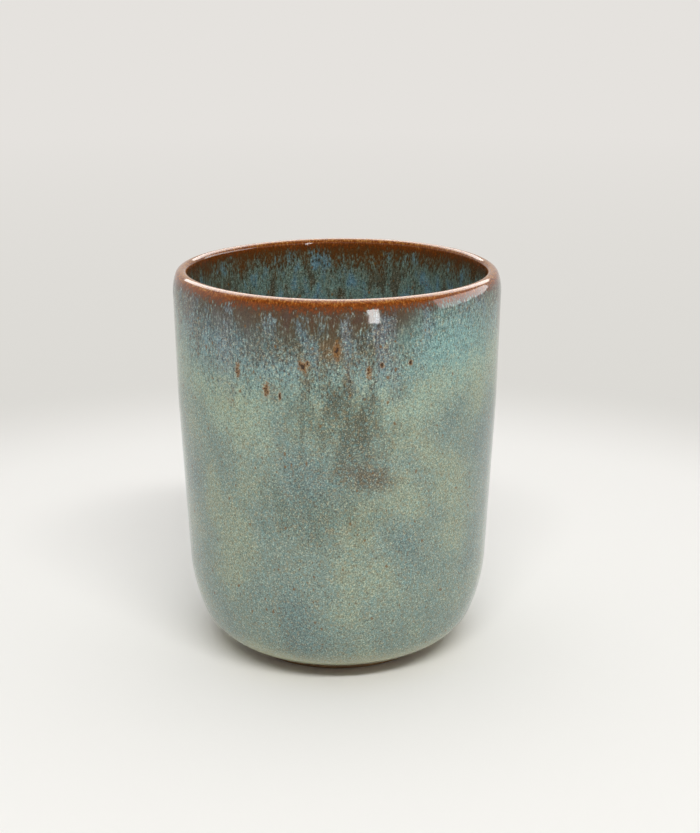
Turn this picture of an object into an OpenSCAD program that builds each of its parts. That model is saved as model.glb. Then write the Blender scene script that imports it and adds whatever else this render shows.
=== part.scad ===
// Handleless tea cup: one thrown and trimmed stoneware body under three coats of glaze.
// Millimetres. The cup's axis is Z, and it stands on the table at z = 0.

/* [Cup] */
// Greatest outside diameter, over the glaze
cup_d = 82; // [76:0.5:90]
// Height from the table to the top of the lip
cup_h = 98.5; // [90:0.5:110]
// Thickness of a coat of glaze
glaze_t = 0.5; // [0.3:0.05:0.8]

/* [Lip] */
// Radius of the shoulder that turns the wall in to the lip
shoulder_r = 12.9; // [10:0.1:18]
// How far the shoulder turns in before the lip, in degrees
shoulder_turn = 19.4; // [12:0.2:25]
// Radius of the lip's outer half
lip_out_r = 1.8; // [1.5:0.05:2.4]
// Radius of the lip's inner half
lip_in_r = 1.2; // [1:0.05:1.6]

/* [Outside wall] */
// Taper of the upper wall, in degrees from the axis
upper_taper = 1.2; // [0.3:0.1:1.4]
// Height of the straight upper wall, which the runs of glaze hang on
upper_h = 24; // [24:0.5:30]
// Radius of the barrel curve between the upper wall and the main wall
barrel_r = 200; // [120:10:500]
// Taper of the main wall, in degrees from the axis
wall_taper = 2.7; // [1.5:0.1:3.5]
// Radius of the curve between the main wall and the heel
lower_r = 46; // [36:1:60]
// Lean of the outside where the heel begins, in degrees from the axis
heel_lean = 21; // [15:0.5:28]
// Radius of the heel
heel_r = 12.5; // [9:0.25:16]
// Height of the heel's lowest point above the table, over the glaze
heel_lift = 2.2; // [1.5:0.1:3.5]
// How far round the heel the outside glaze comes, in degrees below level
glaze_stop = 74; // [60:1:80]

/* [Inside] */
// Taper of the inside wall, in degrees from the axis
bore_taper = 2.3; // [1:0.1:3]
// Radius of the corner between the inside wall and the floor
corner_r = 14; // [8:0.5:20]
// Height of the floor's middle above the table, over the glaze
floor_h = 8; // [7:0.25:12]
// Slope of the dished floor where it meets the corner, in degrees
dish_slope = 5; // [2:0.5:10]

/* [Foot] */
// How far the foot ring stands in from the edge of the outside glaze
foot_set_in = 2.5; // [1.5:0.1:4]
// Width of the foot ring at the table
foot_w = 5; // [4:0.25:8]
// Radius on both edges of the foot ring
foot_edge_r = 0.8; // [0.4:0.1:1.5]
// Height of the recess inside the foot ring
recess_h = 3; // [2.8:0.1:4]
// Radius of the corner in the recess
recess_r = 1.5; // [0.8:0.1:2]

/* [Rim glaze] */
// Depth of the rim glaze outside, from the top of the lip down to the roots of its runs
rim_depth_out = 13; // [9:0.5:15]
// Depth of the rim glaze inside, from the top of the lip down to the roots of its runs
rim_depth_in = 4; // [3.5:0.25:7]
// Number of runs round the cup
run_count = 22; // [16:1:30]
// Shortest run outside
run_short_out = 5.5; // [5:0.25:7]
// Longest run outside
run_long_out = 10; // [8:0.5:13]
// Shortest run inside
run_short_in = 5; // [4.5:0.25:6]
// Longest run inside
run_long_in = 7; // [6:0.5:9]

/* [Hidden] */
$fn = 180;

// Room by which a cut runs past what it cuts
overrun = 1;
// Hair by which a tighter arc stands proud of the wider one that it runs on from, so that they cross cleanly
lap = 0.001;

// Outside: arcs that run on into each other from the lip down, each with its centre as [radius, height]
cup_r = cup_d / 2;
ring_z = cup_h - lip_out_r - (shoulder_r - lip_out_r) * sin(shoulder_turn);
shoulder_c = [cup_r - shoulder_r, ring_z];
lip_out_c = shoulder_c + (shoulder_r - lip_out_r) * outward(-shoulder_turn);
upper_top = shoulder_c + shoulder_r * outward(upper_taper);
upper_foot = upper_top - upper_h * [tan(upper_taper), 1];
barrel_c = upper_foot - barrel_r * outward(upper_taper);
wall_top = barrel_c + barrel_r * outward(wall_taper);
heel_rise = heel_r - heel_r * sin(heel_lean);
lower_rise = lower_r * sin(heel_lean) - lower_r * sin(wall_taper);
wall_drop = wall_top.y - lower_rise - heel_rise - heel_lift;
wall_foot = wall_top - wall_drop * [tan(wall_taper), 1];
lower_c = wall_foot - lower_r * outward(wall_taper);
heel_c = lower_c + (lower_r - heel_r) * outward(heel_lean);

// Inside: the lip's inner arc, the straight wall, the corner and the dished floor
crest_r = lip_out_c.x;
lip_in_c = [crest_r, cup_h - lip_in_r];
bore_in = [-cos(bore_taper), sin(bore_taper)];
dish_tan = tan(dish_slope / 2);
bore_run = lip_in_c.y - floor_h - corner_r;
corner_reach = crest_r - bore_run * tan(bore_taper) - (lip_in_r + corner_r) / cos(bore_taper);
corner_x = corner_reach / (1 - dish_tan * tan(bore_taper));
corner_c = [corner_x, floor_h + corner_r + corner_x * dish_tan];
dish_r = corner_r + corner_x / sin(dish_slope);
dish_c = [0, floor_h + dish_r];

// Foot ring, set in from where the outside glaze stops on the clay
foot_out_r = heel_c.x + (heel_r - glaze_t) * cos(glaze_stop) - foot_set_in;
foot_in_r = foot_out_r - foot_w;

// Rim glaze: where it ends between the runs outside and inside, and how the runs share the way round
wall_t = lip_out_r + lip_in_r;
bore_r = crest_r - lip_in_r;
wall_mid_r = bore_r + wall_t / 2;
edge_out_z = cup_h - rim_depth_out;
edge_in_z = cup_h - rim_depth_in;
run_pitch = 360 / run_count;
run_first_share = 0.5;
run_width_share = 0.36;
run_vary_share = 0.2;
run_wander_share = 0.07;
run_flare_share = 0.6;
// Turn that sets each run's size and place apart from the one before, in degrees
run_turn = 137.5;
// Turn from one flat of a run's tip to the next, in degrees
tip_step = 20;

// Outward direction in the profile, at an angle below level
function outward(turn) = [cos(turn), -sin(turn)];

// Where a run hangs, wandering a little from its even place round the cup
function run_at(i) = (i + run_first_share + run_wander_share * sin(2 * run_turn * i)) * run_pitch;

// Width of a run on a wall of a radius, varying a little about its share of the spacing
function run_w(i, r) = (1 + run_vary_share * sin(3 * run_turn * i)) * run_width_share * run_step(r);

// Spacing of the runs on a wall of a radius
function run_step(r) = 2 * r * sin(run_pitch / 2);

// Length of a run, between the shortest and the longest
function run_len(i, short, long) = short + (long - short) * (1 + sin(run_turn * i)) / 2;

// The part of a profile that lies between two heights, from the axis out
module between(low, high) {
    intersection() {
        translate([0, low]) square([cup_r + overrun, high - low]);
        children();
    }
}

// A disc of the profile about an arc's centre
module disc(centre, r) {
    translate(centre) circle(r);
}

// Everything inside the outside surface, set in from the glazed one by a coat's thickness
module outside(inset) {
    lip_low = lip_out_c.y + (lip_out_r - inset) * sin(shoulder_turn);
    shoulder_foot = shoulder_c + (shoulder_r - inset) * outward(upper_taper);
    barrel_top = barrel_c + (barrel_r - inset) * outward(upper_taper);
    barrel_foot = barrel_c + (barrel_r - inset) * outward(wall_taper);
    lower_top = lower_c + (lower_r - inset) * outward(wall_taper);
    heel_top = heel_c.y - (heel_r - inset) * sin(heel_lean);
    disc(lip_out_c, lip_out_r - inset + lap + lap);
    between(shoulder_c.y - shoulder_r, lip_low) disc(shoulder_c, shoulder_r - inset + lap);
    polygon([[0, barrel_top.y], barrel_top, shoulder_foot, [0, shoulder_foot.y]]);
    between(barrel_foot.y - lap, barrel_top.y + lap) disc(barrel_c, barrel_r - inset);
    polygon([[0, lower_top.y], lower_top, barrel_foot, [0, barrel_foot.y]]);
    between(heel_top, lower_top.y + heel_r) disc(lower_c, lower_r - inset + lap);
    disc(heel_c, heel_r - inset + lap + lap);
    translate([0, heel_lift + inset]) square([heel_c.x, heel_top - heel_lift]);
}

// The hollow of the cup, let out from the glazed one by a coat's thickness
module hollow(outset) {
    bore_top = lip_in_c + (lip_in_r - outset) * bore_in;
    bore_foot = corner_c - (corner_r + outset) * bore_in;
    dish_top = corner_c.y - (corner_r + outset) * cos(dish_slope);
    corner_low = corner_c.y - corner_r - outset;
    difference() {
        union() {
            translate([0, bore_top.y]) square([crest_r, cup_h + overrun - bore_top.y]);
            polygon([[0, bore_foot.y], bore_foot, bore_top, [0, bore_top.y]]);
            disc(corner_c, corner_r + outset + lap);
            translate([0, corner_low]) square([corner_c.x, bore_foot.y - corner_low]);
            between(floor_h - outset, dish_top) disc(dish_c, dish_r + outset);
        }
        disc(lip_in_c, lip_in_r - outset + lap);
    }
}

// Half section of the cup without its foot: glazed with no inset, bare with a coat's thickness
module section(inset) {
    difference() {
        outside(inset);
        hollow(inset);
    }
}

// Half section of the foot ring, with both edges rounded, up into the heel
module foot_ring() {
    translate([foot_in_r + foot_edge_r, 0]) square([foot_w - foot_edge_r - foot_edge_r, recess_h]);
    translate([foot_in_r, foot_edge_r]) square([foot_w, recess_h]);
    for (x = [foot_in_r + foot_edge_r, foot_out_r - foot_edge_r]) disc([x, foot_edge_r], foot_edge_r);
}

// Half section of the recess that the foot ring goes round, with its corner rounded
module recess() {
    translate([0, -overrun]) square([foot_in_r, recess_h + overrun - recess_r]);
    square([foot_in_r - recess_r, recess_h]);
    disc([foot_in_r - recess_r, recess_h - recess_r], recess_r);
}

// The half section below the line at which the outside glaze stops on the heel
module below_glaze() {
    stop = heel_c + (heel_r + overrun) * outward(glaze_stop);
    polygon([heel_c, stop, [stop.x, -overrun], [0, -overrun], [0, heel_c.y]]);
}

// One run, seen square on: a root that flares out above the height 0, straight sides and a round tip
module run(w, len, flare) {
    side = w / 2;
    tip_z = len - side;
    flare_h = min(flare, run_flare_share * tip_z);
    tip = [for (turn = [0 : tip_step : 180]) [side * cos(turn), -tip_z - side * sin(turn)]];
    right = [[side + flare, overrun], [side, -flare_h]];
    left = [[-side, -flare_h], [-side - flare, overrun]];
    polygon(concat(right, tip, left));
}

// The runs round one face of the wall, pushed through it between two radii
module runs(edge_z, face_r, from_r, to_r, short, long) {
    step = run_step(face_r);
    flare = run_flare_share * (step - run_width_share * step) / 2;
    for (i = [0 : run_count - 1])
        rotate(run_at(i)) translate([from_r, 0, edge_z]) rotate([90, 0, 90])
            linear_extrude(to_r - from_r) run(run_w(i, face_r), run_len(i, short, long), flare);
}

// The runs outside, through the outer coat alone
module runs_outside() {
    runs(edge_out_z, cup_r, wall_mid_r, cup_r + overrun, run_short_out, run_long_out);
}

// The runs inside, through the inner coat alone
module runs_inside() {
    runs(edge_in_z, bore_r, bore_r - wall_t, wall_mid_r, run_short_in, run_long_in);
}

// Half section of the outside coat, from one height up to another
module coat_outside(low, high) {
    between(low, high) difference() {
        outside(0);
        outside(glaze_t);
    }
}

// Half section of the inside coat, from one height up to another
module coat_inside(low, high) {
    between(low, high) difference() {
        hollow(glaze_t);
        hollow(0);
    }
}

// Half section of the coat over the lip, down to where the rim glaze ends between its runs
module coat_lip() {
    difference() {
        section(0);
        section(glaze_t);
        translate([wall_mid_r, -overrun]) square([cup_r, edge_out_z + overrun]);
        translate([0, -overrun]) square([wall_mid_r, edge_in_z + overrun]);
    }
}

// Clay: wall, floor and foot ring thrown and trimmed in one piece
module stoneware_body() {
    color("#b9a88c") rotate_extrude() {
        difference() {
            union() {
                section(glaze_t);
                foot_ring();
            }
            recess();
        }
    }
}

// Glaze poured inside, over the floor and the inner wall
module liner_glaze() {
    color("#5d7c84") difference() {
        rotate_extrude() coat_inside(0, edge_in_z);
        runs_inside();
    }
}

// Teal glaze outside, from above the foot up to the rim glaze
module outer_glaze() {
    color("#86a798") difference() {
        rotate_extrude() difference() {
            coat_outside(0, edge_out_z);
            below_glaze();
        }
        runs_outside();
    }
}

// Iron-brown and blue glaze that the rim was dipped in, over the lip and down in runs
module rim_glaze() {
    low_out = edge_out_z - run_long_out - overrun;
    low_in = edge_in_z - run_long_in - overrun;
    color("#7b5236") {
        rotate_extrude() coat_lip();
        intersection() {
            rotate_extrude() coat_outside(low_out, shoulder_c.y - overrun);
            runs_outside();
        }
        intersection() {
            rotate_extrude() coat_inside(low_in, lip_in_c.y - overrun);
            runs_inside();
        }
    }
}

stoneware_body();
liner_glaze();
outer_glaze();
rim_glaze();
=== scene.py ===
import bmesh
import bpy
import numpy as np
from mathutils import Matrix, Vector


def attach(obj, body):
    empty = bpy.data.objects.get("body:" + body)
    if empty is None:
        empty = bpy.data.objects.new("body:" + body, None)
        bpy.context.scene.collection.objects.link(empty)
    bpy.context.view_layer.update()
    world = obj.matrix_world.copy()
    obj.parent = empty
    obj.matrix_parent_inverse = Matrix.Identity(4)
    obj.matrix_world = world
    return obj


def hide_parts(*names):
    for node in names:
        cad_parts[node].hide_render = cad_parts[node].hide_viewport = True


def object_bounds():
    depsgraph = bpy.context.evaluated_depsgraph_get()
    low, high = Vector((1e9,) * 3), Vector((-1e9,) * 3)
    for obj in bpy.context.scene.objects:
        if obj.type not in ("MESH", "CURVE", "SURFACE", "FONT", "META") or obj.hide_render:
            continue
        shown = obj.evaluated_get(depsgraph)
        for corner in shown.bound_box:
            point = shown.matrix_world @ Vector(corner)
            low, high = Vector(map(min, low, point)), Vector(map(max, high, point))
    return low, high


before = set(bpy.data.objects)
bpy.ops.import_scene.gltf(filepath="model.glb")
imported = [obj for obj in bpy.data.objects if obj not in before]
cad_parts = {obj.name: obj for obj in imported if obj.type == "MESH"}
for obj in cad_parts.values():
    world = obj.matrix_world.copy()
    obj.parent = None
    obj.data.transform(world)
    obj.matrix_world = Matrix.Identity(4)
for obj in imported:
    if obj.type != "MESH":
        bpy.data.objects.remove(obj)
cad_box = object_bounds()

# Stoneware body: buff clay thrown on the wheel in one piece, with a foot ring trimmed out of it
# when leather hard. It shows only underneath, where it was wiped clean of glaze before the firing.
# Its profile is the solid's own, in metres, with angles in degrees from the axis or below level.
mm = 0.001
cup_r = cad_box[1].x
cup_h = cad_box[1].z
coat = 0.5 * mm
shoulder_r = 12.9 * mm
shoulder_turn = 19.4
lip_out_r = 1.8 * mm
lip_in_r = 1.2 * mm
upper_taper = 1.2
upper_h = 24 * mm
barrel_r = 200 * mm
wall_taper = 2.7
lower_r = 46 * mm
heel_lean = 21
heel_r = 12.5 * mm
heel_lift = 2.2 * mm
glaze_stop = 74
bore_taper = 2.3
corner_r = 14 * mm
floor_h = 8 * mm
dish_slope = 5
foot_set_in = 2.5 * mm
foot_w = 5 * mm
foot_edge_r = 0.8 * mm
recess_h = 3 * mm
recess_r = 1.5 * mm
foot_fillet = 0.3 * mm
turning_pitch = 1.3 * mm
turning_depth = 0.05 * mm
arc_points = 65
turn_worth = 4 * mm


def outward(turn):
    """Outward direction in the profile, as (radius, height), at an angle in degrees below level."""
    return np.array([np.cos(np.radians(turn)), -np.sin(np.radians(turn))])


def arc(centre, radius, start, stop):
    """An arc of the profile: the centre plus the radius along the outward direction, between two angles."""
    return centre + radius * outward(np.linspace(start, stop, arc_points)).T


ring_z = cup_h - lip_out_r - (shoulder_r - lip_out_r) * np.sin(np.radians(shoulder_turn))
shoulder_c = np.array([cup_r - shoulder_r, ring_z])
lip_out_c = shoulder_c + (shoulder_r - lip_out_r) * outward(-shoulder_turn)
upper_top = shoulder_c + shoulder_r * outward(upper_taper)
upper_foot = upper_top - upper_h * np.array([np.tan(np.radians(upper_taper)), 1])
barrel_c = upper_foot - barrel_r * outward(upper_taper)
wall_top = barrel_c + barrel_r * outward(wall_taper)
lower_rise = lower_r * (np.sin(np.radians(heel_lean)) - np.sin(np.radians(wall_taper)))
heel_rise = heel_r * (1 - np.sin(np.radians(heel_lean)))
wall_drop = wall_top[1] - lower_rise - heel_rise - heel_lift
wall_foot = wall_top - wall_drop * np.array([np.tan(np.radians(wall_taper)), 1])
lower_c = wall_foot - lower_r * outward(wall_taper)
heel_c = lower_c + (lower_r - heel_r) * outward(heel_lean)
crest_r = lip_out_c[0]
lip_in_c = np.array([crest_r, cup_h - lip_in_r])
bore_slope = np.tan(np.radians(bore_taper))
dish_share = np.tan(np.radians(dish_slope / 2))
bore_run = lip_in_c[1] - floor_h - corner_r
corner_reach = (lip_in_r + corner_r) / np.cos(np.radians(bore_taper))
corner_x = (crest_r - bore_run * bore_slope - corner_reach) / (1 - dish_share * bore_slope)
corner_c = np.array([corner_x, floor_h + corner_r + corner_x * dish_share])
dish_r = corner_r + corner_x / np.sin(np.radians(dish_slope))
dish_c = np.array([0, floor_h + dish_r])


def outside(inset, stop):
    """Outside of the cup, a coat's depth in: arcs from the crest of the lip to an angle on the heel, with
    straight walls between them."""
    return np.concatenate([
        arc(lip_out_c, lip_out_r - inset, -90, -shoulder_turn),
        arc(shoulder_c, shoulder_r - inset, -shoulder_turn, upper_taper),
        arc(barrel_c, barrel_r - inset, upper_taper, wall_taper),
        arc(lower_c, lower_r - inset, wall_taper, heel_lean),
        arc(heel_c, heel_r - inset, heel_lean, stop),
    ])


def inside(outset):
    """Inside of the cup, a coat's depth out: arcs from the crest of the lip to the middle of the floor, with
    the straight wall between them."""
    return np.concatenate([
        arc(lip_in_c, lip_in_r - outset, -90, bore_taper - 180),
        arc(corner_c, corner_r + outset, bore_taper, 90 - dish_slope),
        arc(dish_c, dish_r + outset, 90 - dish_slope, 90),
    ])


def way_along(points):
    """Way along a profile: the length so far, plus a length for each radian that it has turned, so that even
    steps of the way crowd together on tight arcs."""
    steps = np.diff(points, axis=0)
    heading = np.unwrap(np.arctan2(steps[:, 1], steps[:, 0]))
    turns = np.abs(np.diff(heading, prepend=heading[0]))
    return np.concatenate([[0], np.cumsum(np.hypot(*steps.T) + turn_worth * turns)])


def along(points, ways):
    """Radius and height on a profile at the given ways along it."""
    way = way_along(points)
    return np.interp(ways, way, points[:, 0]), np.interp(ways, way, points[:, 1])


# Slow waves round the hand-thrown wall and lip, each as (waves in a turn, size, phase in radians)
lean_waves = [(0, 0.14 * mm, 0), (2, 0.07 * mm, -0.6), (3, 0.04 * mm, 1.1)]
dip_waves = [(0, 0.16 * mm, 0), (2, 0.10 * mm, 0.9), (3, 0.05 * mm, -0.4)]
round_points = 512
angles = np.linspace(0, 2 * np.pi, round_points, endpoint=False)[:, None]
lean = sum(size * np.cos(count * angles + phase) for count, size, phase in lean_waves)
dip = sum(size * np.cos(count * angles + phase) for count, size, phase in dip_waves)
merge_gap = 0.0005 * mm
crease_angle = 40


def thrown(name, radius, height, closed):
    """A piece made by carrying an outline round the axis: x = r cos a and y = r sin a at each angle a. The
    wall leans in and the lip dips by slow waves of a, which grow with the radius and the height squared."""
    sway = (height / cup_h) ** 2 * radius / cup_r
    r = radius - lean * sway
    z = height - dip * sway
    points = np.stack([r * np.cos(angles), r * np.sin(angles), z + 0 * angles], axis=2)
    index = np.arange(points[..., 0].size).reshape(points.shape[:2])
    beyond = np.roll(index, -1, axis=0)
    quads = np.stack([index, beyond, np.roll(beyond, -1, axis=1), np.roll(index, -1, axis=1)], axis=2)
    quads = quads if closed else quads[:, :-1]
    mesh = bpy.data.meshes.new(name)
    mesh.from_pydata(points.reshape(-1, 3), [], quads.reshape(-1, 4))
    shell = bmesh.new()
    shell.from_mesh(mesh)
    bmesh.ops.remove_doubles(shell, verts=shell.verts, dist=merge_gap)
    bmesh.ops.recalc_face_normals(shell, faces=shell.faces)
    shell.to_mesh(mesh)
    shell.free()
    mesh.shade_smooth()
    mesh.set_sharp_from_angle(angle=np.radians(crease_angle))
    piece = bpy.data.objects.new(name, mesh)
    bpy.context.collection.objects.link(piece)
    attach(piece, "root")
    return piece


foot_out_r = outside(coat, glaze_stop)[-1, 0] - foot_set_in
foot_in_r = foot_out_r - foot_w
foot_stop = np.degrees(np.arccos((foot_out_r + foot_fillet - heel_c[0]) / (heel_r - coat)))
clay_wall = outside(coat, foot_stop)
clay_outline = np.concatenate([
    inside(coat)[::-1],
    clay_wall[1:],
    [[foot_out_r, clay_wall[-1, 1] - foot_fillet]],
    arc(np.array([foot_out_r - foot_edge_r, foot_edge_r]), foot_edge_r, 0, 90),
    arc(np.array([foot_in_r + foot_edge_r, foot_edge_r]), foot_edge_r, 90, 180),
    arc(np.array([foot_in_r - recess_r, recess_h - recess_r]), recess_r, 0, -90),
    [[0, recess_h]],
])
clay_rows = 150
clay_r, clay_z = along(clay_outline, np.linspace(0, way_along(clay_outline)[-1], clay_rows))

# Spiral lines of the turning tool on the flat of the recess, fading out at the axis
in_recess = (clay_r < foot_in_r - recess_r) * (clay_z < floor_h - 2 * coat)
turned = in_recess * np.minimum(clay_r / turning_pitch, 1)
turning = np.sin(2 * np.pi * clay_r / turning_pitch + angles) * turned
body = thrown("clay_body", clay_r + 0 * angles, clay_z + turning_depth * turning, closed=False)
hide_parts("stoneware_body")


def linear(colour):
    """An sRGB hex colour as linear red, green, blue and alpha."""
    share = np.array([int(colour[i:i + 2], 16) for i in (1, 3, 5)]) / 255
    return (*np.where(share > 0.04045, ((share + 0.055) / 1.055) ** 2.4, share / 12.92), 1.0)


def add(tree, kind, sockets, stops=(), **settings):
    """Adds a node, sets its properties and any ramp stops, and fills its sockets with values or with other
    nodes' outputs. A colour Mix has its share in socket 0, its colours in 6 and 7, and gives output 2."""
    node = tree.nodes.new("ShaderNode" + kind)
    for name, value in settings.items():
        setattr(node, name, value)
    for number, (position, colour) in enumerate(stops):
        ramp = node.color_ramp.elements
        stop = ramp[number] if number < 2 else ramp.new(position)
        stop.position = position
        stop.color = linear(colour)
    for socket, value in sockets.items():
        if isinstance(value, bpy.types.NodeSocket):
            tree.links.new(value, node.inputs[socket])
        else:
            node.inputs[socket].default_value = value
    return node


# Bare buff stoneware, fired: a dry, toasted clay with dark specks of grog, matt and a little gritty.
# The grit is drawn coarser than the real one, so that it shows.
toast_size = 9 * mm
grog_size = 1.1 * mm
grog_core, grog_edge, grog_most = 0.10, 0.20, 0.7
grit_size = 0.35 * mm
grit_depth = 0.06 * mm
clay = bpy.data.materials.new("bare_buff_stoneware_trimmed")
clay.use_nodes = True
tree = clay.node_tree
shader = tree.nodes["Principled BSDF"]
place = add(tree, "TexCoord", {}).outputs["Object"]
toast = add(tree, "TexNoise", {"Vector": place, "Scale": 1 / toast_size, "Detail": 3.0}).outputs[0]
grog = add(tree, "TexVoronoi", {"Vector": place, "Scale": 1 / grog_size}).outputs["Distance"]
grit = add(tree, "TexNoise", {"Vector": place, "Scale": 1 / grit_size, "Detail": 2.0}).outputs[0]
buff = add(tree, "ValToRGB", {0: toast}, stops=[(0.35, "#77593a"), (0.65, "#997a52")]).outputs[0]
dark = add(tree, "MapRange", {
    "Value": grog, "From Min": grog_core, "From Max": grog_edge, "To Min": grog_most, "To Max": 0,
}).outputs[0]
mixed = add(tree, "Mix", {0: dark, 6: buff, 7: linear("#45301f")}, data_type="RGBA").outputs[2]
gritty = add(tree, "Bump", {"Height": grit, "Distance": grit_depth}).outputs[0]
tree.links.new(mixed, shader.inputs["Base Color"])
tree.links.new(gritty, shader.inputs["Normal"])
shader.inputs["Roughness"].default_value = 0.85
shader.inputs["IOR"].default_value = 1.5
body.data.materials.append(clay)

# Rim glaze: the lip was dipped upside down in an iron and rutile glaze, which ran down in the firing.
# It is thin and rust brown on the lip itself, and blue and streaked where it ran down to the other glazes.
# Its runs wander, and vary in width and length, by sines of the golden angle.
rim_depth_out = 13 * mm
rim_depth_in = 4 * mm
run_count = 22
run_short_out, run_long_out = 5.5 * mm, 10 * mm
run_short_in, run_long_in = 5 * mm, 7 * mm
run_first_share = 0.5
run_wander_share = 0.07
run_width_share = 0.36
run_vary_share = 0.2
run_soft_share = 0.55
run_turn = np.radians(137.5)
run_pitch = 2 * np.pi / run_count
run = np.arange(run_count)
run_at = (run + run_first_share + run_wander_share * np.sin(2 * run_turn * run)) * run_pitch
run_width = (1 + run_vary_share * np.sin(3 * run_turn * run)) * run_width_share * run_pitch


def run_edge(top, short, long):
    """Height of the edge of the rim glaze at each angle: its top, less each run's length times exp(-q^4),
    where q is the angle from the middle of the run in half widths."""
    length = short + (long - short) * (1 + np.sin(run_turn * run)) / 2
    away = np.angle(np.exp(1j * (angles - run_at))) / (run_soft_share * run_width)
    return top - (length * np.exp(-away ** 4)).sum(axis=1, keepdims=True)


def way_down(points, edge):
    """Way along a profile at which it falls to the height of the edge."""
    return np.interp(-edge, -points[:, 1], way_along(points))


edge_out = run_edge(cup_h - rim_depth_out, run_short_out, run_long_out)
edge_in = run_edge(cup_h - rim_depth_in, run_short_in, run_long_in)
face_out, face_in = outside(0, glaze_stop), inside(0)
clay_out, clay_in = outside(coat, glaze_stop), inside(coat)
face_rows_out, face_rows_in = 60, 40
clay_rows_out, clay_rows_in = 18, 14
rim_rows = [
    along(face_out, way_down(face_out, edge_out) * np.linspace(1, 0, face_rows_out)),
    along(face_in, way_down(face_in, edge_in) * np.linspace(0, 1, face_rows_in)[1:]),
    along(clay_in, way_down(clay_in, edge_in) * np.linspace(1, 0, clay_rows_in)),
    along(clay_out, way_down(clay_out, edge_out) * np.linspace(0, 1, clay_rows_out)[1:]),
]
rim_r, rim_z = (np.concatenate(rows, axis=1) for rows in zip(*rim_rows))
rim = thrown("rim_coat", rim_r, rim_z, closed=True)
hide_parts("rim_glaze")

# Colours of the glazes by depth in millimetres below the top of the lip: outside, inside and on the crest.
# The bands end at the last depth, and the wall below keeps the last colour.
ramp_depth = 40
outside_bands = [
    (0, "#4a2c16"), (2.5, "#4e3a22"), (4.5, "#4f4733"), (7, "#4e4d3f"), (10, "#55594f"), (13, "#656d63"),
    (16, "#758a81"), (19, "#80998f"), (24, "#9aad99"), (32, "#8ea091"), (40, "#7d8f85"),
]
inside_bands = [
    (0, "#613814"), (3, "#5b3d1f"), (5, "#5d533f"), (8, "#627063"), (14, "#667d74"), (40, "#6b867e"),
]
crest_bands = [(0, "#a87238"), (0.7, "#874616"), (1.8, "#74380d"), (3, "#56300f")]

# Patterns in the glazes: width across the wall and height up it, in millimetres, and detail of the noise.
# The grain is drawn coarser than the real crystals, so that it shows.
pattern_sizes = {
    "run": (7, 45, 2),
    "dash": (0.42, 1.1, 2),
    "flush": (3.2, 8, 2),
    "cloud": (16, 20, 2),
    "fleck": (0.6, 0.7, 1),
    "grain": (0.29, 0.32, 1),
}
pattern_start = (0, 0, -0.6)

# Shift of the bands in millimetres of depth: by three patterns, and deeper where the coat is thin. The coat
# is thick towards one side of the cup, and the shift fades out on the lip.
shift_reach = {"run": 10, "flush": 14, "dash": 18}
thick_side = (-0.25, -0.97, 0)
thick_from = 0.88 * cup_r
thin_from = 0.55 * cup_r
thin_shift = 6.5
thick_shift_share = 0.2
still_depth, free_depth, still_share = 0.8, 4, 0.08

# Depths that the colours mixed into the bands keep to
none, all_over = "#000000", "#ffffff"
body_reach = [(14, none), (28, all_over)]
middle_reach = [(3, none), (7, all_over), (15, all_over), (26, none)]
below_reach = [(5, none), (9, all_over)]
below_lip_reach = [(2, none), (4, all_over)]
upper_reach = [(5, none), (9, all_over), (22, all_over), (38, none)]
streak_reach = [(2, none), (4, all_over), (14, all_over), (24, none)]

# Colours mixed in: the pattern, its values where the colour begins and is full, the most that is mixed in,
# the depths and the colour
outside_streaks = [
    ("cloud", 0.50, 0.68, 0.50, body_reach, "#a0a98c"),
    ("cloud", 0.50, 0.32, 0.60, body_reach, "#5f7677"),
    ("run", 0.50, 0.66, 0.40, middle_reach, "#736a78"),
    ("flush", 0.46, 0.70, 0.42, middle_reach, "#5f8499"),
    ("flush", 0.48, 0.32, 0.55, middle_reach, "#6b5a3e"),
    ("dash", 0.44, 0.26, 0.55, streak_reach, "#2f2a1e"),
    ("dash", 0.56, 0.74, 0.45, streak_reach, "#93a8a4"),
]
outside_flecks = [
    ("fleck", 0.52, 0.72, 0.42, below_reach, "#8c744c"),
    ("fleck", 0.48, 0.28, 0.46, below_reach, "#6f9c9c"),
    ("grain", 0.54, 0.78, 0.48, below_reach, "#c2c2a6"),
    ("grain", 0.44, 0.22, 0.48, below_reach, "#4d4a36"),
]
inside_streaks = [
    ("flush", 0.50, 0.68, 0.55, below_reach, "#5b86a0"),
    ("flush", 0.49, 0.36, 0.75, upper_reach, "#4b3a26"),
    ("dash", 0.44, 0.26, 0.45, below_lip_reach, "#35230f"),
    ("cloud", 0.50, 0.68, 0.40, body_reach, "#86a196"),
    ("cloud", 0.50, 0.32, 0.45, body_reach, "#4f6c6f"),
]
inside_flecks = [
    ("fleck", 0.52, 0.72, 0.34, below_reach, "#7c6544"),
    ("fleck", 0.48, 0.28, 0.34, body_reach, "#6f9c9c"),
    ("grain", 0.54, 0.78, 0.34, below_reach, "#a9bcae"),
]

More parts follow.
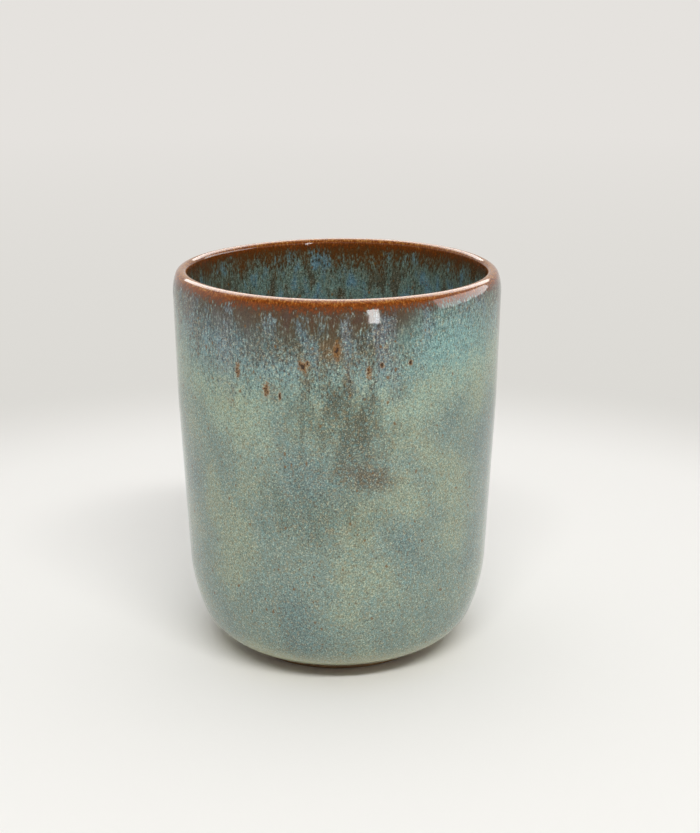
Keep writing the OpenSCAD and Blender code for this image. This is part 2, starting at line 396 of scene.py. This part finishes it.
# Soft pools in the glaze: angle from the front in degrees, height, half width and half height in millimetres,
# the most that is mixed in and the colour. Their edges are soft between two distances in half widths, and
# uneven by a pattern. The dark and brown pools in front, at heights from 55 to 72 mm, are a painted
# reflection: a dark reflection in the glossy front wall, painted into the glaze's colour.
glaze_pools_and_painted_reflection = [
    (-4, 86, 30, 6, 0.16, "#6f5f38"),
    (-2.5, 86.7, 6, 4, 0.36, "#74522b"),
    # Painted reflection: the next four pools are a dark reflection in the front wall, painted into the colour
    (-0.5, 72, 15, 11, 0.80, "#454a3f"),
    (7, 65, 14, 11, 0.78, "#454a3f"),
    (6.5, 57.2, 8, 4, 0.50, "#5a442f"),
    (13.5, 55, 8, 4, 0.60, "#553f2b"),
    (-4, 47, 22, 13, 0.50, "#56614f"),
    (42, 87, 24, 14, 0.60, "#80b2b0"),
    (-42, 85, 24, 13, 0.34, "#7896a0"),
    (19, 95, 8, 5, 0.85, "#46351f"),
    (-30, 95, 10, 5, 0.60, "#4e3d25"),
    (-21, 87, 5, 6, 0.45, "#474d45"),
]
pool_rag = 1.4
pool_end, pool_full = 1.7, 0.7

# Spots where iron bled through the glaze: angle, height, half width and half height as for the pools.
# Each has a rust ring and a dark core: the reach in half widths, the most that is mixed in and the colour.
iron_spots = [
    (-10.5, 83.2, 0.7, 0.9),
    (-9.2, 84.0, 0.5, 0.4),
    (-34.1, 80.7, 0.4, 1.3),
    (-23.2, 76.9, 0.5, 1.1),
    (-18.5, 75.6, 0.25, 0.8),
    (0.4, 87.2, 0.5, 1.4),
    (10.6, 81.8, 0.45, 0.9),
    (14.8, 83.4, 0.3, 0.5),
    (24.6, 83.4, 0.35, 0.45),
]
spot_rings = [(2.0, 0.80, "#9a6524"), (1.0, 0.95, "#251104")]
spot_full_share = 0.4
spot_rag = 4.0

# Small rust specks, at most one in each cell of a pattern: those cells have one whose random value is over
# the chosen one. Widths and edges of the specks are in cells.
speck_cell_w, speck_cell_h = 1.7 * mm, 2.3 * mm
speck_chosen = 0.5
speck_widest = 0.22
speck_rag = 0.2
speck_edge, speck_core, speck_most = 0.07, 0.16, 0.75
speck_colour = "#76501f"

# The crest of the lip: how uneven its lower edge is, and the depths between which it ends with that added,
# in millimetres
crest_rag = 6
crest_end, crest_full = 6.4, 4.6

# Light and dark of the grain and of the fine streaks, over the middle of the noise's range
noise_low, noise_high = 0.25, 0.75
grain_light = 0.44
streak_light = 0.4


def by_depth(bands):
    """Ramp stops for colours by depth: each depth as a share of the depth that the ramp covers."""
    return [(depth / ramp_depth, colour) for depth, colour in bands]


def away_from(tree, place, angle, level, half, tall):
    """Distance from a point on the outside wall, in half widths across it and half heights up it."""
    wall_r = np.interp(-level * mm, -face_out[:, 1], face_out[:, 0])
    turn = np.radians(angle)
    centre = np.array([wall_r * np.sin(turn), -wall_r * np.cos(turn), level * mm])
    scale = 1 / (np.array([half, half, tall]) * mm)
    local = add(tree, "Mapping", {"Vector": place, "Scale": scale, "Location": -centre * scale}).outputs[0]
    return add(tree, "VectorMath", {0: local}, operation="LENGTH").outputs["Value"]


def patterns(tree, place):
    """Each pattern in the glaze by its name: noise stretched to the pattern's width and height."""
    found = {}
    for name, (width, tall, detail) in pattern_sizes.items():
        stretch = 1 / (np.array([width, width, tall]) * mm)
        cells = {"Vector": place, "Scale": stretch, "Location": pattern_start}
        cells = add(tree, "Mapping", cells).outputs[0]
        found[name] = add(tree, "TexNoise", {"Vector": cells, "Scale": 1.0, "Detail": detail}).outputs[0]
    return found


def run_depth(tree, place, depth, pattern, thinning):
    """Depth that sets the band, as a share of the ramp: the true depth, plus the thinning where the coat is
    thin, plus a shift by each pattern, both weighted from little on the lip to all below it."""
    weight = add(tree, "MapRange", {
        "Value": depth, "From Min": still_depth, "From Max": free_depth, "To Min": still_share, "To Max": 1,
    }).outputs[0]
    thick = add(tree, "VectorMath", {0: place, 1: thick_side}, operation="DOT_PRODUCT").outputs["Value"]
    thin = add(tree, "MapRange", {
        "Value": thick, "From Min": thick_from, "From Max": thin_from,
        "To Min": -thick_shift_share * thinning, "To Max": thinning,
    }, interpolation_type="SMOOTHSTEP").outputs[0]
    shifted = add(tree, "Math", {0: thin, 1: weight, 2: depth}, operation="MULTIPLY_ADD").outputs[0]
    for name, reach in shift_reach.items():
        shift = {"Value": pattern[name], "To Min": -reach / 2, "To Max": reach / 2}
        shift = add(tree, "MapRange", shift).outputs[0]
        shifted = add(tree, "Math", {0: shift, 1: weight, 2: shifted}, operation="MULTIPLY_ADD").outputs[0]
    return add(tree, "Math", {0: shifted, 1: ramp_depth}, operation="DIVIDE").outputs[0]


def mottled(tree, colour, layers, pattern, share):
    """The colour with others mixed in: each where its pattern goes from one value to another, times how far
    its reach lets it in at that depth."""
    for name, least, full, most, reach, hue in layers:
        amount = add(tree, "MapRange", {
            "Value": pattern[name], "From Min": least, "From Max": full, "To Max": most,
        }, interpolation_type="SMOOTHSTEP").outputs[0]
        within = add(tree, "ValToRGB", {0: share}, stops=by_depth(reach)).outputs[0]
        amount = add(tree, "Math", {0: amount, 1: within}, operation="MULTIPLY").outputs[0]
        colour = add(tree, "Mix", {0: amount, 6: colour, 7: linear(hue)}, data_type="RGBA").outputs[2]
    return colour


def pooled_and_reflected(tree, colour, place, pattern, pools_and_painted_reflection):
    """The colour with soft pools mixed in, some of them a painted reflection, by the distance from each
    pool's middle plus a pattern.
    """
    for *spot, most, hue in pools_and_painted_reflection:
        away = away_from(tree, place, *spot)
        uneven = {0: pattern["flush"], 1: pool_rag, 2: away}
        uneven = add(tree, "Math", uneven, operation="MULTIPLY_ADD").outputs[0]
        amount = add(tree, "MapRange", {
            "Value": uneven, "From Min": pool_end, "From Max": pool_full, "To Max": most,
        }, interpolation_type="SMOOTHSTEP").outputs[0]
        colour = add(tree, "Mix", {0: amount, 6: colour, 7: linear(hue)}, data_type="RGBA").outputs[2]
    return colour


def crested(tree, colour, depth, pattern):
    """The colour with the bands of the lip's crest over it, by the depth plus a pattern."""
    uneven = {0: pattern["dash"], 1: crest_rag, 2: depth}
    uneven = add(tree, "Math", uneven, operation="MULTIPLY_ADD").outputs[0]
    amount = {"Value": uneven, "From Min": crest_end, "From Max": crest_full}
    amount = add(tree, "MapRange", amount).outputs[0]
    middle = crest_rag / 2
    share = {"Value": uneven, "From Min": middle, "From Max": middle + ramp_depth}
    share = add(tree, "MapRange", share).outputs[0]
    crest = add(tree, "ValToRGB", {0: share}, stops=by_depth(crest_bands)).outputs[0]
    return add(tree, "Mix", {0: amount, 6: colour, 7: crest}, data_type="RGBA").outputs[2]


def grained(tree, colour, pattern, share):
    """The colour made lighter and darker: by the grain all over, by the fine streaks at their depths."""
    light = add(tree, "MapRange", {
        "Value": pattern["grain"], "From Min": noise_low, "From Max": noise_high,
        "To Min": 1 - grain_light, "To Max": 1 + grain_light,
    }, clamp=False).outputs[0]
    streak = add(tree, "MapRange", {
        "Value": pattern["dash"], "From Min": noise_low, "From Max": noise_high,
        "To Min": -streak_light, "To Max": streak_light,
    }, clamp=False).outputs[0]
    within = add(tree, "ValToRGB", {0: share}, stops=by_depth(streak_reach)).outputs[0]
    light = add(tree, "Math", {0: streak, 1: within, 2: light}, operation="MULTIPLY_ADD").outputs[0]
    return add(tree, "HueSaturation", {"Value": light, "Color": colour}).outputs[0]


def specked(tree, colour, place, pattern):
    """The colour with small rust specks: in some cells of a Voronoi pattern, the speck's own width less the
    distance from the middle of the cell, plus a pattern, over a soft edge."""
    stretch = (1 / speck_cell_w, 1 / speck_cell_w, 1 / speck_cell_h)
    cells = add(tree, "Mapping", {"Vector": place, "Scale": stretch}).outputs[0]
    cell = add(tree, "TexVoronoi", {"Vector": cells, "Scale": 1.0}).outputs
    chosen = add(tree, "SeparateColor", {0: cell["Color"]}).outputs[0]
    wide = {"Value": chosen, "From Min": speck_chosen, "From Max": 1, "To Max": speck_widest}
    wide = add(tree, "MapRange", wide).outputs[0]
    inner = add(tree, "Math", {0: wide, 1: cell["Distance"]}, operation="SUBTRACT").outputs[0]
    inner = {0: pattern["fleck"], 1: speck_rag, 2: inner}
    inner = add(tree, "Math", inner, operation="MULTIPLY_ADD").outputs[0]
    amount = {"Value": inner, "From Min": speck_edge, "From Max": speck_core, "To Max": speck_most}
    amount = add(tree, "MapRange", amount).outputs[0]
    return add(tree, "Mix", {0: amount, 6: colour, 7: linear(speck_colour)}, data_type="RGBA").outputs[2]


def spotted(tree, colour, place, pattern, spots):
    """The colour with iron spots: a ring and a core by the distance from the nearest spot plus a pattern."""
    if not spots:
        return colour
    nearest, *others = (away_from(tree, place, *spot) for spot in spots)
    for other in others:
        nearest = add(tree, "Math", {0: nearest, 1: other}, operation="MINIMUM").outputs[0]
    uneven = {0: pattern["fleck"], 1: spot_rag, 2: nearest}
    uneven = add(tree, "Math", uneven, operation="MULTIPLY_ADD").outputs[0]
    middle = spot_rag / 2
    for reach, most, hue in spot_rings:
        full = middle + spot_full_share * reach
        amount = {"Value": uneven, "From Min": middle + reach, "From Max": full, "To Max": most}
        amount = add(tree, "MapRange", amount).outputs[0]
        colour = add(tree, "Mix", {0: amount, 6: colour, 7: linear(hue)}, data_type="RGBA").outputs[2]
    return colour


def running_colour(tree, bands, streaks, flecks, thinning, pools_and_painted_reflection, spots):
    """Colour of the glazes that ran into each other: bands by depth below the lip, shifted and streaked, then
    pools with a painted reflection among them, flecks, the crest of the lip, grain, specks and spots over
    them, each by its own function."""
    place = add(tree, "TexCoord", {}).outputs["Object"]
    height = add(tree, "SeparateXYZ", {0: place}).outputs[2]
    depth = add(tree, "Math", {0: height, 1: -1 / mm, 2: cup_h / mm}, operation="MULTIPLY_ADD").outputs[0]
    pattern = patterns(tree, place)
    share = run_depth(tree, place, depth, pattern, thinning)
    colour = add(tree, "ValToRGB", {0: share}, stops=by_depth(bands)).outputs[0]
    colour = mottled(tree, colour, streaks, pattern, share)
    colour = pooled_and_reflected(tree, colour, place, pattern, pools_and_painted_reflection)
    colour = mottled(tree, colour, flecks, pattern, share)
    colour = crested(tree, colour, depth, pattern)
    colour = grained(tree, colour, pattern, share)
    colour = specked(tree, colour, place, pattern)
    return spotted(tree, colour, place, pattern, spots)


outside_look = (outside_bands, outside_streaks, outside_flecks, thin_shift, glaze_pools_and_painted_reflection, iron_spots)
inside_look = (inside_bands, inside_streaks, inside_flecks, 0, [], [])
peel_size = 2.4 * mm
peel_depth = 0.03 * mm


def fired_glaze(name):
    """A new glaze material with its tree and shader: glass over clay, smooth, with a slight orange peel."""
    material = bpy.data.materials.new(name)
    material.use_nodes = True
    tree = material.node_tree
    shader = tree.nodes["Principled BSDF"]
    shader.inputs["Roughness"].default_value = 0.07
    shader.inputs["IOR"].default_value = 1.52
    place = add(tree, "TexCoord", {}).outputs["Object"]
    peel = add(tree, "TexNoise", {"Vector": place, "Scale": 1 / peel_size, "Detail": 2.0}).outputs[0]
    relief = add(tree, "Bump", {"Height": peel, "Distance": peel_depth}).outputs[0]
    tree.links.new(relief, shader.inputs["Normal"])
    return material, tree, shader


# Iron and rutile glaze, dipped and fired: rust brown glass that breaks to orange on the lip and streaks to
# blue. The crest of the lip divides the inside's colours from the outside's, over a narrow blend.
crest_blend = 0.4 * mm
rust, tree, shader = fired_glaze("iron_rutile_glaze_dipped")
place = add(tree, "TexCoord", {}).outputs["Object"]
flat = add(tree, "VectorMath", {0: place, 1: (1, 1, 0)}, operation="MULTIPLY").outputs[0]
from_axis = add(tree, "VectorMath", {0: flat}, operation="LENGTH").outputs["Value"]
outer_face = add(tree, "MapRange", {
    "Value": from_axis, "From Min": crest_r - crest_blend, "From Max": crest_r + crest_blend,
}).outputs[0]
faces = {6: running_colour(tree, *inside_look), 7: running_colour(tree, *outside_look)}
both = add(tree, "Mix", {0: outer_face, **faces}, data_type="RGBA").outputs[2]
tree.links.new(both, shader.inputs["Base Color"])
rim.data.materials.append(rust)

# Outer glaze: a teal celadon poured over the outside, down to a line that was wiped above the foot.
# It ends there in a thin rounded bead, and its top edge meets the runs of the rim glaze.
bead = 0.4 * mm
outer_face_rows, outer_clay_rows = 150, 24
row_crowding = 1.3
face_ways = way_down(face_out, edge_out)
face_end = way_along(face_out)[-1]
down = 1 - (1 - np.linspace(0, 1, outer_face_rows)) ** row_crowding
ways = face_ways + (face_end - face_ways) * down
face_r, face_z = along(face_out, ways)
clay_ways = way_down(clay_out, edge_out)
clay_end = way_along(clay_out)[-1]
back_r, back_z = along(clay_out, clay_ways + (clay_end - clay_ways) * np.linspace(1, 0, outer_clay_rows))

# The bead: the face falls to the clay under it along a quarter of a circle
under_r, under_z = along(clay_out, ways * clay_end / face_end)
left = np.clip((face_end - ways) / bead, 0, 1)
full = np.sqrt(1 - (1 - left) ** 2)
face_r = under_r + (face_r - under_r) * full
face_z = under_z + (face_z - under_z) * full
outer_r = np.concatenate([face_r, back_r], axis=1)
outer_z = np.concatenate([face_z, back_z], axis=1)
outer = thrown("outer_coat", outer_r, outer_z, closed=True)
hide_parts("outer_glaze")

# Celadon glaze with rutile, poured and fired: soft teal glass, flecked with cream, blue and rust crystals.
# It thins towards its lower edge, where the pale clay shines through. There its colour is also painted
# lighter, as painted light that makes up for the shade under the heel.
thin_top = heel_lift + 9 * mm
thin_foot = heel_lift + 0.5 * mm
thin_edge_and_painted_light_most = 0.5
thin_edge_and_painted_light_colour = "#d0c99c"
teal, tree, shader = fired_glaze("celadon_rutile_glaze_poured")
height = add(tree, "SeparateXYZ", {0: add(tree, "TexCoord", {}).outputs["Object"]}).outputs[2]
# The pale lower edge: thin glaze, and painted light that lifts the shade under the heel
thin = add(tree, "MapRange", {
    "Value": height, "From Min": thin_top, "From Max": thin_foot, "To Max": thin_edge_and_painted_light_most,
}, interpolation_type="SMOOTHSTEP").outputs[0]
colour = running_colour(tree, *outside_look)
colour = add(tree, "Mix", {0: thin, 6: colour, 7: linear(thin_edge_and_painted_light_colour)}, data_type="RGBA").outputs[2]
tree.links.new(colour, shader.inputs["Base Color"])
outer.data.materials.append(teal)

# Liner glaze: the same family of glaze, swilled round inside and poured out, over the floor and the wall.
# It meets the runs of the rim glaze below the lip.
liner_face_rows, liner_clay_rows = 120, 30
face_ways = way_down(face_in, edge_in)
face_end = way_along(face_in)[-1]
face_r, face_z = along(face_in, face_ways + (face_end - face_ways) * np.linspace(1, 0, liner_face_rows))
clay_ways = way_down(clay_in, edge_in)
clay_end = way_along(clay_in)[-1]
back_r, back_z = along(clay_in, clay_ways + (clay_end - clay_ways) * np.linspace(0, 1, liner_clay_rows))
liner_r = np.concatenate([face_r, back_r], axis=1)
liner_z = np.concatenate([face_z, back_z], axis=1)
liner = thrown("liner_coat", liner_r, liner_z, closed=False)
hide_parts("liner_glaze")

# Rutile blue liner glaze, swilled and fired: blue-green glass with brown streaks under the lip.
blue, tree, shader = fired_glaze("rutile_blue_liner_glaze_swilled")
tree.links.new(running_colour(tree, *inside_look), shader.inputs["Base Color"])
liner.data.materials.append(blue)

# Floor: a wide sheet of matt white paper, which fades far off into the plain backdrop.
# The camera and reflections see that plain colour, and near the cup the paper takes its shadow.
paper_reach = 6.0
ring_count, spoke_count = 60, 96
ring_crowding = 3
fade_near, fade_far = 0.16, 0.26
turn_near, turn_far = 0.25, 1.2
paper_colour = "#f1efeb"
backdrop_colour = "#e5e2de"
# Painted shade: the backdrop's colour darkens towards the turn
turn_painted_shade_colour = "#dcdad5"
ring = np.linspace(0, 1, ring_count)[None, :] ** ring_crowding * paper_reach
turn = np.linspace(0, 2 * np.pi, spoke_count, endpoint=False)[:, None]
sheet = np.stack([ring * np.cos(turn), ring * np.sin(turn), 0 * ring * turn], axis=2)
index = np.arange(sheet[..., 0].size).reshape(sheet.shape[:2])
quads = np.stack([index, np.roll(index, -1, axis=0)], axis=2)
quads = np.concatenate([quads[:, :-1], quads[:, 1:, ::-1]], axis=2)
mesh = bpy.data.meshes.new("paper_floor")
mesh.from_pydata(sheet.reshape(-1, 3), [], quads.reshape(-1, 4))
floor = bpy.data.objects.new("paper_floor", mesh)
bpy.context.collection.objects.link(floor)

# Matt white paper, rolled: plain and dull. Past the fade it has the backdrop's colour, with painted shade
# that is darkest at the turn.
paper = bpy.data.materials.new("matt_white_paper")
paper.use_nodes = True
tree = paper.node_tree
shader = tree.nodes["Principled BSDF"]
shader.inputs["Base Color"].default_value = linear(paper_colour)
shader.inputs["Roughness"].default_value = 0.95
shader.inputs["Specular IOR Level"].default_value = 0.1
place = add(tree, "TexCoord", {}).outputs["Object"]
far = add(tree, "VectorMath", {0: place}, operation="LENGTH").outputs["Value"]
fade = {"Value": far, "From Min": fade_near, "From Max": fade_far}
fade = add(tree, "MapRange", fade, interpolation_type="SMOOTHSTEP").outputs[0]
wall = add(tree, "MapRange", {"Value": far, "From Min": turn_near, "From Max": turn_far}).outputs[0]
wall = add(tree, "ValToRGB", {0: wall}, stops=[(0, turn_painted_shade_colour), (1, backdrop_colour)]).outputs[0]
rays = add(tree, "LightPath", {}).outputs
seen = {0: rays["Is Camera Ray"], 1: rays["Is Glossy Ray"]}
seen = add(tree, "Math", seen, operation="MAXIMUM").outputs[0]
seen = add(tree, "Math", {0: seen, 1: rays["Is Transmission Ray"]}, operation="MAXIMUM").outputs[0]
seen = add(tree, "Math", {0: seen, 1: fade}, operation="MULTIPLY").outputs[0]
plain = add(tree, "Emission", {"Color": wall}).outputs[0]
blend = add(tree, "MixShader", {0: seen, 1: shader.outputs[0], 2: plain}).outputs[0]
tree.links.new(blend, tree.nodes["Material Output"].inputs["Surface"])
floor.data.materials.append(paper)

# Light: a pale room, brighter behind the cup, with a long soft box high in front and a wide one overhead.
# The boxes behind and to the right and the small window in front only show as reflections in the glaze.
front_fill, back_fill = "#6f6f6f", "#d2d2d2"
dark_ceiling = "#404040"
room = bpy.data.worlds.new("pale_room")
room.use_nodes = True
bpy.context.scene.world = room
tree = room.node_tree
way = add(tree, "SeparateXYZ", {0: add(tree, "TexCoord", {}).outputs["Generated"]}).outputs
back = add(tree, "MapRange", {"Value": way[1], "From Min": -1}).outputs[0]
fill = add(tree, "ValToRGB", {0: back}, stops=[(0.1, front_fill), (0.6, back_fill)]).outputs[0]
above = [(0.12, backdrop_colour), (0.45, dark_ceiling)]
reflected = add(tree, "ValToRGB", {0: way[2]}, stops=above).outputs[0]
behind = add(tree, "MapRange", {"Value": way[1], "From Min": -0.2, "From Max": 0.2}).outputs[0]
reflected = {0: behind, 6: reflected, 7: linear(backdrop_colour)}
reflected = add(tree, "Mix", reflected, data_type="RGBA").outputs[2]
rays = add(tree, "LightPath", {}).outputs
shade = add(tree, "Mix", {0: rays["Is Glossy Ray"], 6: fill, 7: reflected}, data_type="RGBA").outputs[2]
seen = {0: rays["Is Camera Ray"], 1: rays["Is Transmission Ray"]}
seen = add(tree, "Math", seen, operation="MAXIMUM").outputs[0]
shade = add(tree, "Mix", {0: seen, 6: shade, 7: linear(backdrop_colour)}, data_type="RGBA").outputs[2]
tree.links.new(shade, tree.nodes["Background"].inputs["Color"])

# Each lamp: place and size in metres, power in watts, whether it lights the cup and shows in the glaze
lamps = [
    ("soft_box_front", (0.2, -1.16, 1.5), (1.4, 0.2), 23.0, True, False),
    ("soft_box_ceiling", (0.0, 0.1, 2.2), (1.6, 1.6), 5.0, True, True),
    ("soft_box_back", (0.0, 0.95, 1.05), (2.0, 1.2), 30.0, False, True),
    ("soft_box_right", (0.88, 0.16, 0.30), (1.0, 0.36), 3.8, False, True),
    ("window_front_right", (0.18, -0.41, 0.114), (0.054, 0.20), 0.42, False, True),
]
for name, spot, (wide, tall), power, lights_up, shows in lamps:
    lamp = bpy.data.lights.new(name, "AREA")
    lamp.shape = "RECTANGLE"
    lamp.size = wide
    lamp.size_y = tall
    lamp.energy = power
    holder = bpy.data.objects.new(name, lamp)
    bpy.context.collection.objects.link(holder)
    holder.location = spot
    holder.visible_camera = False
    holder.visible_diffuse = lights_up
    holder.visible_glossy = shows
    aim = holder.location - (cad_box[0] + cad_box[1]) / 2
    holder.rotation_euler = aim.to_track_quat("Z", "Y").to_euler()

# Camera: close in front of the cup and a hand's breadth above its lip, looking down on it.
# Its lens is set by the picture's height and focal length, both in pixels.
camera_at = (3.2 * mm, -367.8 * mm, 171.3 * mm)
look_down = 16.95
image_h = 833
focal_px = 1500
camera = bpy.data.cameras.new("camera")
camera.sensor_width = 36
camera.lens = focal_px / image_h * camera.sensor_width
camera.clip_start = 0.01
camera.clip_end = 50
stand = bpy.data.objects.new("camera", camera)
bpy.context.collection.objects.link(stand)
stand.location = camera_at
stand.rotation_euler = (np.radians(90 - look_down), 0, 0)
bpy.context.scene.camera = stand
bpy.context.scene.view_settings.view_transform = "Standard"
